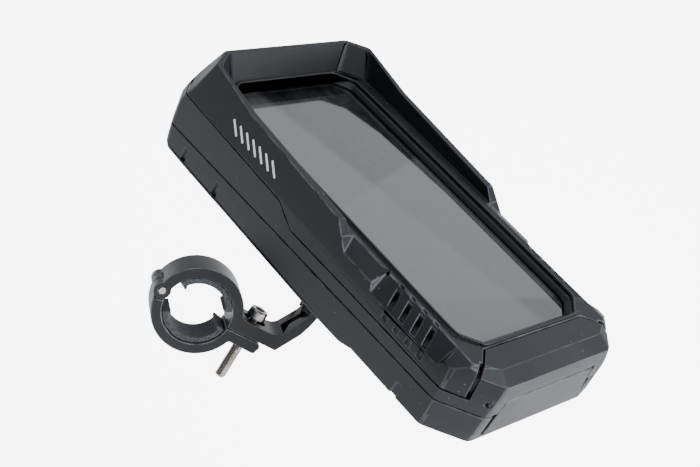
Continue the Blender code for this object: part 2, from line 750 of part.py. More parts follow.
# ---- clamp --------------------------------------------------------------------------------------------
def along_ear(s, h):
    """A point at s along the ears and h above the plane through the ring's centre."""
    point = EAR * s + EAR_UP * h
    return (point.x, point.y)


def ring_point(radius, height):
    return along_ear(sqrt(radius**2 - height**2), height)


def angle_of(point):
    return degrees(atan2(point[1], point[0]))


PIN_ANGLE = 143.0
SPLIT_UP, SPLIT_LOW = -0.85, -1.25


def clamp_arm():
    """The upper clamp half, its ear and the bent arm, in one casting."""
    stud = Vector((cos(radians(STUD_ANGLE)), sin(radians(STUD_ANGLE))))
    pad = Vector(BALL_AT[1:]) - stud * STUD_LENGTH
    end = pad - stud * 2.5
    across = Vector((stud.y, -stud.x))
    end_low, end_top = end + across * 2.7, end - across * 2.7
    inner_start = ring_point(BORE_R, SPLIT_UP)
    bottom = [along_ear(38.0, SPLIT_UP), along_ear(40.3, SPLIT_UP - 0.1), (45.5, -15.6), (49.4, -12.2),
              (52.5, -8.9), tuple(end_low)]
    top = [tuple(end_top), (49.9, -6.6), (46.4, -9.6), (37.6, -14.4), (36.2, -14.9), (34.2, -14.9),
           (32.6, -14.3), along_ear(23.0, 5.5)]
    outer = arc((0, 0), RING_R, -13.5, PIN_ANGLE, 40)
    inner = arc((0, 0), BORE_R, PIN_ANGLE, angle_of(inner_start), 36)
    arm = prism([inner_start] + bottom + top + outer + inner[:-1], -WIDTH / 2, WIDTH / 2)
    y, z = CLAMP_PIN
    cut(arm, cylinder((-2.95, y, z), (2.95, y, z), CLAMP_KNUCKLE_R + 0.4, 28))
    for low, high in ((2.95, 8.0), (-8.0, -2.95)):
        join(arm, cylinder((low, y, z), (high, y, z), CLAMP_KNUCKLE_R, 28))
    cut(arm, cylinder((-20, y, z), (20, y, z), CLAMP_PIN_R + GAP, 20))
    boss_low, boss_high = pad - stud * 7.5, pad
    join(arm, cylinder((0, *boss_low), (0, *boss_high), 6.6, 36))
    hole_low = pad - stud * 12.0
    cut(arm, cylinder((0, *hole_low), (0, *(pad + stud)), 2.5 + GAP, 20))
    for s in (-2.9, 2.9):
        start, finish = along_ear(SCREW_S + s, -8), along_ear(SCREW_S + s, 14)
        cut(arm, cylinder((0, *start), (0, *finish), 2.9, 24))
    slot = [along_ear(SCREW_S - 2.9, -8), along_ear(SCREW_S + 2.9, -8), along_ear(SCREW_S + 2.9, 14),
            along_ear(SCREW_S - 2.9, 14)]
    cut(arm, prism(slot, -2.9, 2.9))
    groove = [(38.45, -15.45), (45.95, -11.25), (50.55, -7.05), (46.0, -2.0), (40.0, -6.0), (36.0, -12.0)]
    return cut(arm, prism(groove, -1.7, 1.7))


def clamp_jaw():
    """The lower clamp half with its ear."""
    inner_start = ring_point(BORE_R, SPLIT_LOW)
    tip = [along_ear(31.6, SPLIT_LOW), along_ear(33.2, SPLIT_LOW - 0.9), along_ear(33.4, SPLIT_LOW - 2.4),
           along_ear(32.6, SPLIT_LOW - JAW_T + 0.6), along_ear(31.6, SPLIT_LOW - JAW_T), (13.6, -16.2)]
    outer = arc((0, 0), RING_R, -52.0, PIN_ANGLE - 360, 44)
    inner = arc((0, 0), BORE_R, PIN_ANGLE - 360, angle_of(inner_start), 40)
    jaw = prism([inner_start] + tip + outer + inner[:-1], -WIDTH / 2, WIDTH / 2)
    y, z = CLAMP_PIN
    for low, high in ((2.65, 9.0), (-9.0, -2.65)):
        cut(jaw, cylinder((low, y, z), (high, y, z), CLAMP_KNUCKLE_R + 0.4, 28))
    join(jaw, cylinder((-2.65, y, z), (2.65, y, z), CLAMP_KNUCKLE_R, 28))
    cut(jaw, cylinder((-20, y, z), (20, y, z), CLAMP_PIN_R + GAP, 20))
    start, finish = along_ear(SCREW_S, -20), along_ear(SCREW_S, 10)
    return cut(jaw, cylinder((0, *start), (0, *finish), SCREW_R + GAP, 24))


def shim(start, end):
    """A rubber strip inside one clamp half, thicker at its ends."""
    outside = BORE_R - GAP
    bump, length = 1.3, 9.0
    outer = arc((0, 0), outside, start, end, 28)
    inner = arc((0, 0), SHIM_R, end - length, start + length, 22)
    near_end = arc((0, 0), SHIM_R - bump, end, end - length * 0.6, 3)
    near_start = arc((0, 0), SHIM_R - bump, start + length * 0.6, start, 3)
    return prism(outer + near_end + inner + near_start, -WIDTH / 2 + 0.6, WIDTH / 2 - 0.6)


def clamp_screw():
    """A socket-head screw across the ears, with its hexagon socket."""
    head_low = 5.5 + HEAD_LIFT
    base, top = along_ear(SCREW_S, head_low), along_ear(SCREW_S, head_low + HEAD_H)
    shank_end = along_ear(SCREW_S, head_low - SCREW_L)
    screw = cylinder((0, *base), (0, *top), HEAD_R, 36)
    chamfer = along_ear(SCREW_S, head_low - SCREW_L + 0.8)
    overlap = along_ear(SCREW_S, head_low + 1.0)
    join(screw, cylinder((0, *chamfer), (0, *overlap), SCREW_R, 24))
    join(screw, cylinder((0, *shank_end), (0, *along_ear(SCREW_S, head_low - SCREW_L + 1.2)), 2.0, 24, 2.45))
    deep, out = along_ear(SCREW_S, head_low + HEAD_H - 2.4), along_ear(SCREW_S, head_low + HEAD_H + 3)
    return cut(screw, cylinder((0, *deep), (0, *out), 2.3, 6))


def clamp_pin():
    y, z = CLAMP_PIN
    return cylinder((-8.2, y, z), (8.2, y, z), CLAMP_PIN_R, 20)


# ---- assembly -------------------------------------------------------------------------------------------
def build_clamp():
    piece(clamp_arm(), "clamp_arm", BLACK_METAL, CLAMP, CLAMP_AXIS)
    piece(shim(-8.0, 116.0), "upper_shim", RUBBER, CLAMP, CLAMP_AXIS)
    piece(clamp_pin(), "clamp_pin", STEEL, CLAMP, CLAMP_AXIS)
    piece(ball_stud(), "ball_stud", STEEL, CLAMP, CLAMP_AXIS)
    piece(clamp_jaw(), "clamp_jaw", BLACK_METAL, CLAMP, JAW_AXIS)
    piece(shim(176.0, 318.0), "lower_shim", RUBBER, CLAMP, JAW_AXIS)
    piece(clamp_screw(), "clamp_screw", STEEL, CLAMP, SCREW_AXIS)


def build_ball_joint():
    piece(ball_liner(), "ball_liner", NYLON, CASE, PITCH_AXIS)
    piece(socket(), "ball_socket", NYLON, CASE, ROLL_AXIS)
    piece(swivel_retainer(), "swivel_retainer", STEEL, CASE, ROLL_AXIS)
    for number, (x, y) in enumerate(retainer_places(), 1):
        screw = pan_screw(x, y, BALL_IN_CASE[2] + 14.8, 5.3)
        piece(screw, f"retainer_screw_{number}", STEEL, CASE, ROLL_AXIS)
    piece(locking_ring(), "locking_ring", NYLON, CASE, LOCK_AXIS)


def build_rear():
    z = part_z(HINGE_Y)
    piece(rear_shell(), "rear_shell", SHELL, CASE, SWIVEL_AXIS)
    piece(lid_gasket(), "lid_gasket", RUBBER, CASE, SWIVEL_AXIS)
    piece(phone_tray(), "phone_tray", NYLON, CASE, SWIVEL_AXIS)
    low, high = TRAY_Z + GAP, TRAY_Z + GAP + PAD_T
    piece(box((-36, -84, low), (36, 84, high)), "back_pad", FOAM, CASE, SWIVEL_AXIS)
    for name, side in (("right", 1), ("left", -1)):
        xs = sorted((40.6 * side, 43.8 * side))
        strip = box((xs[0], -55, low), (xs[1], 55, low + 9))
        piece(strip, f"side_pad_{name}", FOAM, CASE, SWIVEL_AXIS)
    piece(box((-30, 88.2, low), (30, 94.5, low + 9)), "end_pad_top", FOAM, CASE, SWIVEL_AXIS)
    piece(box((-30, -95.6, low), (30, -88.2, low + 9)), "end_pad_bottom", FOAM, CASE, SWIVEL_AXIS)
    places = [(x, y) for x in (POST_X, -POST_X) for y in (POST_Y, -POST_Y)]
    for number, (x, y) in enumerate(places, 1):
        screw = pan_screw(x, y, TRAY_Z + GAP, TRAY_T + 4.5)
        piece(screw, f"tray_screw_{number}", STEEL, CASE, SWIVEL_AXIS)
    pin = cylinder((-28.0, HINGE_Y, z), (28.0, HINGE_Y, z), PIN_R, 16)
    piece(pin, "lid_hinge_pin", STEEL, CASE, SWIVEL_AXIS)


def build_lid():
    piece(lid_frame(), "lid_frame", SHELL, CASE, LID_AXIS)
    piece(hood_bezel(), "hood_bezel", HOOD, CASE, LID_AXIS)
    piece(film_space(-0.1, -0.9, -0.3), "window_film", FILM, CASE, LID_AXIS)
    piece(film_seal(), "film_seal", RUBBER, CASE, LID_AXIS)
    for number, (x, y) in enumerate(COVER_SCREWS, 1):
        piece(cover_screw(x, y), f"cover_screw_{number}", STEEL, CASE, LID_AXIS)
    pin = cylinder((-37, LATCH_Y, LATCH_Z), (37, LATCH_Y, LATCH_Z), PIN_R, 12)
    piece(pin, "latch_pin", STEEL, CASE, LID_AXIS)
    piece(latch_flap(), "latch_flap", SHELL, CASE, LATCH_AXIS)


build_clamp()
build_ball_joint()
build_rear()
build_lid()
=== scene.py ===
"""Looks for the handlebar phone mount: softened mouldings, a threaded screw, foam, marks and finishes.

Every piece is made at the world's origin, in metres, in the row's own frame. CAD solids are read from the
frame and never changed: each visible one is replaced by a softened copy of its own mesh, or by a surface
worked out from a formula. Lengths named with MM are in millimetres.
"""

import json
import logging
from dataclasses import dataclass, field
from enum import Enum
from math import pi, radians

import bmesh
import bpy
import numpy as np
from mathutils import Matrix, Vector

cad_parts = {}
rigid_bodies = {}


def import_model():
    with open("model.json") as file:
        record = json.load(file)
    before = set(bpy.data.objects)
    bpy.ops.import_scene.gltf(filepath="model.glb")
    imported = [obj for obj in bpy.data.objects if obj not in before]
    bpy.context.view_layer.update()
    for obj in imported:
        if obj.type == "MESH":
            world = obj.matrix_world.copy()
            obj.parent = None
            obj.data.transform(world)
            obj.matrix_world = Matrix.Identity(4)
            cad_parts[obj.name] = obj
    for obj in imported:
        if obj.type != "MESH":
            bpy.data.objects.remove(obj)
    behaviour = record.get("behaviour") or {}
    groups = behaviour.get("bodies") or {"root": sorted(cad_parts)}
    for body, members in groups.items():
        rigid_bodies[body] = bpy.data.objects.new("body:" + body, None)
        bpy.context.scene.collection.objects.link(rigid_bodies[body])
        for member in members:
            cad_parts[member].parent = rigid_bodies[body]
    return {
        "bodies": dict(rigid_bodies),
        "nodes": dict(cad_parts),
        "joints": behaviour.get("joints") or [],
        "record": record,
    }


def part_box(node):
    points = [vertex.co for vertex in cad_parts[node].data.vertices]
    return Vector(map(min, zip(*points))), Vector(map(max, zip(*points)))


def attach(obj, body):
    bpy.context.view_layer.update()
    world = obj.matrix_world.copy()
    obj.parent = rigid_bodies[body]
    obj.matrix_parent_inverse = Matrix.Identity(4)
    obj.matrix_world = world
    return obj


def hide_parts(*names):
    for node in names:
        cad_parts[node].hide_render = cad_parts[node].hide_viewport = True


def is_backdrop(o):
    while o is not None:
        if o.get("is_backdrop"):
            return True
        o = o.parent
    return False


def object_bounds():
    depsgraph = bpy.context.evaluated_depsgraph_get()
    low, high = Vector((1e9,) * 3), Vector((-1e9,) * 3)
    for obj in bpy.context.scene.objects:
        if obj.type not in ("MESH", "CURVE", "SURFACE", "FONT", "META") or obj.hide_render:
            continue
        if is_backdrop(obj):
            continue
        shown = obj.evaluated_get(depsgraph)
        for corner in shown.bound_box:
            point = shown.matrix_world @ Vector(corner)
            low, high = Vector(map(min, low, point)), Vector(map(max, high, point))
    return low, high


logging.basicConfig(level=logging.INFO, format="%(name)s: %(message)s")
log = logging.getLogger("phone_mount")

MM = 0.001


class Slot(Enum):
    """The record's material slots."""

    CASE = "case_shell"
    HOOD = "hood_shell"
    FILM = "window_film"
    RUBBER = "rubber"
    FOAM = "foam"
    BLACK_METAL = "black_metal"
    STEEL = "steel"
    NYLON = "nylon"


class Mask(Enum):
    """Face attributes that the finishes read."""

    EDGE = "edge_mask"
    INSIDE = "inside_mask"


@dataclass(frozen=True)
class Finish:
    """How one material looks.

    Attributes:
        base: linear colour of the bulk.
        tint: linear colour that mottling mixes towards.
        edge: linear colour of rounded edges: handling wear, and a painted highlight along them.
        roughness: mean roughness.
        spread: how far roughness strays from its mean.
        grain: size of the surface texture in millimetres.
        relief: height of that texture in millimetres.
        metallic: 0 for plastics, up to 1 for bare metal.
        specular: level of the plain reflection.
        edge_wear_and_highlight_share: how much of the edge colour shows.
        dust: share of the surface under fine pale specks.
        mottle: size of the colour patches in millimetres.
    """

    base: tuple[float, float, float]
    tint: tuple[float, float, float]
    edge: tuple[float, float, float]
    roughness: float
    spread: float
    grain: float
    relief: float
    metallic: float = 0.0
    specular: float = 0.5
    edge_wear_and_highlight_share: float = 0.5
    dust: float = 0.0
    mottle: float = 26.0


FINISHES: dict[Slot, Finish] = {
    Slot.CASE: Finish(
        base=(0.0098, 0.0103, 0.0126), tint=(0.0142, 0.0149, 0.0178), edge=(0.095, 0.102, 0.115),
        roughness=0.40, spread=0.07, grain=0.35, relief=0.010, specular=0.30, dust=0.22, edge_wear_and_highlight_share=0.8,
    ),
    Slot.HOOD: Finish(
        base=(0.0082, 0.0084, 0.0102), tint=(0.0120, 0.0123, 0.0145), edge=(0.085, 0.092, 0.104),
        roughness=0.38, spread=0.07, grain=0.35, relief=0.009, specular=0.27, dust=0.22, edge_wear_and_highlight_share=0.8,
    ),
    Slot.RUBBER: Finish(
        base=(0.020, 0.022, 0.026), tint=(0.085, 0.090, 0.100), edge=(0.060, 0.064, 0.072),
        roughness=0.72, spread=0.10, grain=0.55, relief=0.05, specular=0.30, edge_wear_and_highlight_share=0.3, mottle=0.7,
    ),
    Slot.FOAM: Finish(
        base=(0.014, 0.014, 0.016), tint=(0.026, 0.026, 0.029), edge=(0.04, 0.04, 0.04),
        roughness=0.95, spread=0.04, grain=0.9, relief=0.10, specular=0.15, edge_wear_and_highlight_share=0.2,
    ),
    Slot.BLACK_METAL: Finish(
        base=(0.0050, 0.0052, 0.0058), tint=(0.0085, 0.0086, 0.0090), edge=(0.17, 0.17, 0.175),
        roughness=0.30, spread=0.08, grain=0.20, relief=0.006, specular=0.42, edge_wear_and_highlight_share=0.7,
    ),
    Slot.STEEL: Finish(
        base=(0.56, 0.54, 0.51), tint=(0.42, 0.40, 0.37), edge=(0.80, 0.79, 0.77),
        roughness=0.20, spread=0.10, grain=0.25, relief=0.004, metallic=1.0, edge_wear_and_highlight_share=0.5, mottle=4.0,
    ),
    Slot.NYLON: Finish(
        base=(0.014, 0.014, 0.016), tint=(0.022, 0.022, 0.024), edge=(0.05, 0.05, 0.055),
        roughness=0.52, spread=0.08, grain=0.5, relief=0.015, specular=0.35,
    ),
}


# ---- shader node groups ----------------------------------------------------------------------------
class NodeTree:
    """A small helper that adds nodes to one tree and links them."""

    def __init__(self, tree: bpy.types.NodeTree) -> None:
        self.tree = tree

    def add(self, kind: str, **settings: object) -> bpy.types.Node:
        """Adds a node and sets its plain properties.

        Args:
            kind: the node's Blender type name.
            **settings: properties to set on it.

        Returns:
            The new node.
        """
        node = self.tree.nodes.new(kind)
        for name, value in settings.items():
            setattr(node, name, value)
        return node

    def link(self, source: bpy.types.NodeSocket, target: bpy.types.NodeSocket) -> None:
        """Links an output to an input."""
        self.tree.links.new(source, target)

    def ramp(self, value: bpy.types.NodeSocket, low: float, high: float) -> bpy.types.NodeSocket:
        """Maps a value from low..high to 0..1, clamped.

        Args:
            value: the socket to map.
            low: what becomes 0.
            high: what becomes 1.

        Returns:
            The mapped value.
        """
        node = self.add("ShaderNodeMapRange", clamp=True)
        node.inputs["From Min"].default_value = low
        node.inputs["From Max"].default_value = high
        self.link(value, node.inputs["Value"])
        return node.outputs["Result"]

    def noise(self, vector: bpy.types.NodeSocket, scale: float, detail: float) -> bpy.types.NodeSocket:
        """Noise over a position.

        Args:
            vector: the position.
            scale: features to the metre.
            detail: how many finer layers are added.

        Returns:
            The noise value.
        """
        node = self.add("ShaderNodeTexNoise")
        node.inputs["Scale"].default_value = scale
        node.inputs["Detail"].default_value = detail
        self.link(vector, node.inputs["Vector"])
        return node.outputs["Fac"]

    def blend(self, factor: bpy.types.NodeSocket, a: object, b: object) -> bpy.types.NodeSocket:
        """Mixes two colours, each a socket or a plain colour.

        Args:
            factor: share of the second colour.
            a: the first colour.
            b: the second colour.

        Returns:
            The mixed colour.
        """
        node = self.add("ShaderNodeMix", data_type="RGBA")
        self.link(factor, node.inputs["Factor"])
        for place, value in ((6, a), (7, b)):
            if isinstance(value, bpy.types.NodeSocket):
                self.link(value, node.inputs[place])
            else:
                node.inputs[place].default_value = (*value, 1.0)
        return node.outputs[2]

    def maths(self, operation: str, a: object, b: object) -> bpy.types.NodeSocket:
        """One arithmetic step on two values, each a socket or a number.

        Args:
            operation: Blender's name of the step.
            a: the first value.
            b: the second value.

        Returns:
            The result.
        """
        node = self.add("ShaderNodeMath", operation=operation)
        for place, value in ((0, a), (1, b)):
            if isinstance(value, bpy.types.NodeSocket):
                self.link(value, node.inputs[place])
            else:
                node.inputs[place].default_value = value
        return node.outputs[0]


class SurfaceGroups:
    """The shared shader groups: mottling, grain, edge wear with a painted highlight, and dust."""

    def __init__(self) -> None:
        self.grain = self._grain()
        self.edge = self._edge_wear_and_highlight()
        self.dust = self._dust()

    @staticmethod
    def _new(name: str, inputs: tuple[str, ...], outputs: tuple[str, ...]) -> tuple:
        group = bpy.data.node_groups.new(name, "ShaderNodeTree")
        for label in inputs:
            kind = "NodeSocketVector" if label == "Vector" else "NodeSocketFloat"
            group.interface.new_socket(label, in_out="INPUT", socket_type=kind)
        for label in outputs:
            group.interface.new_socket(label, in_out="OUTPUT", socket_type="NodeSocketFloat")
        nodes = NodeTree(group)
        return group, nodes, nodes.add("NodeGroupInput"), nodes.add("NodeGroupOutput")

    def _grain(self) -> bpy.types.NodeTree:
        """Moulded grain: broad mottling, and fine relief of two sizes."""
        group, nodes, into, out = self._new(
            "moulded_grain", ("Vector", "Frequency", "Patches"), ("Mottle", "Relief")
        )
        broad = nodes.noise(into.outputs["Vector"], 38.0, 3.0)
        nodes.link(into.outputs["Patches"], broad.node.inputs["Scale"])
        nodes.link(nodes.ramp(broad, 0.35, 0.68), out.inputs["Mottle"])
        fine = nodes.add("ShaderNodeTexNoise")
        fine.inputs["Detail"].default_value = 3.0
        nodes.link(into.outputs["Vector"], fine.inputs["Vector"])
        nodes.link(into.outputs["Frequency"], fine.inputs["Scale"])
        pits = nodes.add("ShaderNodeTexVoronoi")
        nodes.link(into.outputs["Vector"], pits.inputs["Vector"])
        nodes.link(nodes.maths("MULTIPLY", into.outputs["Frequency"], 0.6), pits.inputs["Scale"])
        mixed = nodes.maths("MULTIPLY_ADD", pits.outputs["Distance"], 0.45)
        nodes.link(fine.outputs["Fac"], mixed.node.inputs[2])
        nodes.link(mixed, out.inputs["Relief"])
        return group

    def _edge_wear_and_highlight(self) -> bpy.types.NodeTree:
        """Wear and a painted highlight on rounded edges, broken up by noise."""
        group, nodes, into, out = self._new("edge_wear_and_highlight", ("Vector",), ("Mask",))
        edge = nodes.add("ShaderNodeAttribute", attribute_name=Mask.EDGE.value)
        patches = nodes.ramp(nodes.noise(into.outputs["Vector"], 160.0, 4.0), 0.30, 0.62)
        nodes.link(nodes.maths("MULTIPLY", edge.outputs["Fac"], patches), out.inputs["Mask"])
        return group

    def _dust(self) -> bpy.types.NodeTree:
        """Fine pale specks, a few to a square centimetre."""
        group, nodes, into, out = self._new("dust_specks", ("Vector",), ("Mask",))
        cells = nodes.add("ShaderNodeTexVoronoi")
        cells.inputs["Scale"].default_value = 330.0
        nodes.link(into.outputs["Vector"], cells.inputs["Vector"])
        dot = nodes.maths("LESS_THAN", cells.outputs["Distance"], 0.09)
        rare = nodes.maths("GREATER_THAN", nodes.noise(into.outputs["Vector"], 61.0, 2.0), 0.60)
        nodes.link(nodes.maths("MULTIPLY", dot, rare), out.inputs["Mask"])
        return group


@dataclass
class Paintbox:
    """Makes each slot's material once and hands it out."""

    groups: SurfaceGroups = field(default_factory=SurfaceGroups)
    made: dict[Slot, bpy.types.Material] = field(default_factory=dict)

    def material(self, slot: Slot) -> bpy.types.Material:
        """The finished material of a slot.

        Args:
            slot: which of the record's slots.

        Returns:
            The material, made on first use.
        """
        if slot not in self.made:
            self.made[slot] = self._film() if slot is Slot.FILM else self._solid(slot)
        return self.made[slot]

    @staticmethod
    def _start(name: str) -> tuple[bpy.types.Material, NodeTree, bpy.types.Node, bpy.types.NodeSocket]:
        made = bpy.data.materials.new(name)
        made.use_nodes = True
        nodes = NodeTree(made.node_tree)
        shader = made.node_tree.nodes["Principled BSDF"]
        place = nodes.add("ShaderNodeTexCoord").outputs["Object"]
        return made, nodes, shader, place

    def _group(self, nodes: NodeTree, group: bpy.types.NodeTree, place: bpy.types.NodeSocket) -> bpy.types.Node:
        node = nodes.add("ShaderNodeGroup", node_tree=group)
        nodes.link(place, node.inputs["Vector"])
        return node

    def _solid(self, slot: Slot) -> bpy.types.Material:
        look = FINISHES[slot]
        made, nodes, shader, place = self._start(slot.value)
        grain = self._group(nodes, self.groups.grain, place)
        grain.inputs["Frequency"].default_value = 1.0 / (look.grain * MM)
        grain.inputs["Patches"].default_value = 1.0 / (look.mottle * MM)
        colour = nodes.blend(grain.outputs["Mottle"], look.base, look.tint)
        # Rounded edges take a paler edge colour: part handling wear, part a painted highlight.
        edge = self._group(nodes, self.groups.edge, place)
        worn_and_highlit = nodes.maths("MULTIPLY", edge.outputs["Mask"], look.edge_wear_and_highlight_share)
        colour = nodes.blend(worn_and_highlit, colour, look.edge)
        if look.dust:
            dust = self._group(nodes, self.groups.dust, place)
            share = nodes.maths("MULTIPLY", dust.outputs["Mask"], look.dust)
            colour = nodes.blend(share, colour, (0.45, 0.45, 0.44))
        rough = nodes.maths("MULTIPLY_ADD", grain.outputs["Mottle"], look.spread)
        rough.node.inputs[2].default_value = look.roughness - look.spread / 2
        # Painted light: faces inside the hood are painted lighter than the outside. Their lower roughness is the
        # moulding's own gloss.
        if slot is Slot.HOOD:
            inside = nodes.add("ShaderNodeAttribute", attribute_name=Mask.INSIDE.value).outputs["Fac"]
            colour = nodes.blend(inside, colour, (0.0120, 0.0125, 0.0142))
            rough = nodes.maths("SUBTRACT", rough, nodes.maths("MULTIPLY", inside, 0.08))
        nodes.link(colour, shader.inputs["Base Color"])
        nodes.link(rough, shader.inputs["Roughness"])
        shader.inputs["Metallic"].default_value = look.metallic
        shader.inputs["Specular IOR Level"].default_value = look.specular
        if not look.metallic:
            shader.inputs["Specular Tint"].default_value = (0.88, 0.94, 1.0, 1.0)
        bump = nodes.add("ShaderNodeBump")
        bump.inputs["Distance"].default_value = look.relief * MM
        bump.inputs["Strength"].default_value = 0.9
        nodes.link(grain.outputs["Relief"], bump.inputs["Height"])
        nodes.link(bump.outputs["Normal"], shader.inputs["Normal"])
        return made

    @staticmethod
    def _middle(node: str) -> np.ndarray:
        """Centre of a CAD node's box."""
        low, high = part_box(node)
        return (np.array(low) + np.array(high)) / 2

    @staticmethod
    def _reflection_step(
        nodes: NodeTree,
        place: bpy.types.NodeSocket,
        middle: np.ndarray,
        facing: tuple[float, float],
        start: float,
        width: float,
    ) -> bpy.types.NodeSocket:
        """A soft step in the film's painted reflection: ramp(n . (p - middle)) from start to start + width.

        Args:
            nodes: the material's nodes.
            place: object coordinates.
            middle: centre of the film.
            facing: the step's direction n, in the film's plane.
            start: where it begins, in millimetres from the middle.
            width: how long it takes, in millimetres.

        Returns:
            0 before the step and 1 after it.
        """
        dot = nodes.add("ShaderNodeVectorMath", operation="DOT_PRODUCT")
        nodes.link(place, dot.inputs[0])
        dot.inputs[1].default_value = (*facing, 0.0)
        offset = facing[0] * middle[0] + facing[1] * middle[1] + start * MM
        return nodes.ramp(dot.outputs["Value"], offset, offset + width * MM)

    def _film(self) -> bpy.types.Material:
        """A smoky clear film with reflection painted in three soft bands, fine streaks and a glossy face."""
        made, nodes, shader, place = self._start(Slot.FILM.value)
        middle = self._middle("window_film")
        long_reflection_band = self._reflection_step(nodes, place, middle, (-0.98, -0.20), -1.0, 5.0)
        cross_reflection_band = self._reflection_step(nodes, place, middle, (0.30, -0.95), -14.0, 3.0)
        end_reflection_band = self._reflection_step(nodes, place, middle, (0.25, 0.97), -62.0, 2.5)
        # Painted reflection: the film is painted dark and grows lighter past each soft step.
        colour = nodes.blend(long_reflection_band, (0.004, 0.005, 0.006), (0.034, 0.036, 0.039))
        share = nodes.maths("MULTIPLY", cross_reflection_band, nodes.maths("MULTIPLY", end_reflection_band, 0.5))
        colour = nodes.blend(share, colour, (0.052, 0.054, 0.058))
        stretched = nodes.add("ShaderNodeMapping")
        stretched.inputs["Scale"].default_value = (1.0, 0.35, 1.0)
        nodes.link(place, stretched.inputs["Vector"])
        streaks = nodes.ramp(nodes.noise(stretched.outputs["Vector"], 420.0, 2.0), 0.3, 0.8)
        faint = nodes.maths("MULTIPLY", streaks, 0.10)
        colour = nodes.blend(faint, colour, (0.12, 0.122, 0.126))
        nodes.link(colour, shader.inputs["Base Color"])
        rough = nodes.maths("MULTIPLY_ADD", streaks, 0.05)
        rough.node.inputs[2].default_value = 0.07
        nodes.link(rough, shader.inputs["Roughness"])
        shader.inputs["Specular IOR Level"].default_value = 0.8
        shader.inputs["Coat Weight"].default_value = 1.0
        shader.inputs["Coat Roughness"].default_value = 0.03
        return made


# ---- meshes from formulas ------------------------------------------------------------------------------
def grid_mesh(name: str, rows: np.ndarray) -> bpy.types.Object:
    """A closed surface over rows of points that each run once round, with a pole at either end.

    Args:
        name: name of the new object.
        rows: points of shape (rows, columns, 3), outward when rows climb and columns turn leftward.

    Returns:
        The new object, at the origin.
    """
    count, columns = rows.shape[:2]
    poles = np.stack([rows[0].mean(axis=0), rows[-1].mean(axis=0)])
    points = np.concatenate([rows.reshape(-1, 3), poles])
    i, j = np.meshgrid(np.arange(count - 1), np.arange(columns), indexing="ij")
    k = (j + 1) % columns
    quads = np.stack([i * columns + j, i * columns + k, (i + 1) * columns + k, (i + 1) * columns + j], -1)
    ring = np.arange(columns)
    after = (ring + 1) % columns
    first, last = count * columns, (count - 1) * columns
    low = np.stack([after, ring, np.full(columns, first)], -1)
    high = np.stack([last + ring, last + after, np.full(columns, first + 1)], -1)
    mesh = bpy.data.meshes.new(name)
    faces = quads.reshape(-1, 4).tolist() + low.tolist() + high.tolist()
    mesh.from_pydata(points.tolist(), [], faces)
    mesh.update()
    obj = bpy.data.objects.new(name, mesh)
    bpy.context.scene.collection.objects.link(obj)
    return obj


def smoothed(obj: bpy.types.Object, angle: float = 32.0) -> bpy.types.Object:
    """Shades an object smooth, apart from its sharp edges.

    Args:
        obj: the object to shade.
        angle: edges sharper than this many degrees stay sharp.

    Returns:
        The same object.
    """
    mesh = obj.data
    mesh.polygons.foreach_set("use_smooth", np.ones(len(mesh.polygons), bool))
    mesh.set_sharp_from_angle(angle=radians(angle))
    return obj


def frame_points(node: bpy.types.Object) -> np.ndarray:
    """The vertices of a CAD node.

    Args:
        node: the CAD node.

    Returns:
        Points of shape (count, 3), in the row frame, in metres.
    """
    points = np.empty(len(node.data.vertices) * 3)
    node.data.vertices.foreach_get("co", points)
    return points.reshape(-1, 3)


@dataclass
class Workshop:
    """What every sub-assembly needs: the frame, the finishes and which body holds which node."""

    frame: dict
    paint: Paintbox
    body_of: dict[str, str]
    slot_of: dict[str, str]

    def place(
        self, obj: bpy.types.Object, node: str, slot: Slot | None = None, replace: bool = True
    ) -> None:
        """Rides a finished piece on a node's body, in a slot's finish.

        Args:
            obj: the finished piece.
            node: the CAD node whose body it moves with, and which it replaces.
            slot: the finish, or None for the node's own.
            replace: whether the node is hidden in its favour.
        """
        slot = slot or Slot(self.slot_of[node])
        obj.data.materials.clear()
        obj.data.materials.append(self.paint.material(slot))
        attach(obj, self.body_of[node])
        if replace:
            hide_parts(node)

    def joint(self, name: str) -> dict:
        """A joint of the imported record.

        Args:
            name: the joint's name.

        Returns:
            Its entry in the record.
        """
        return next(j for j in self.frame["record"]["behaviour"]["joints"] if j["name"] == name)


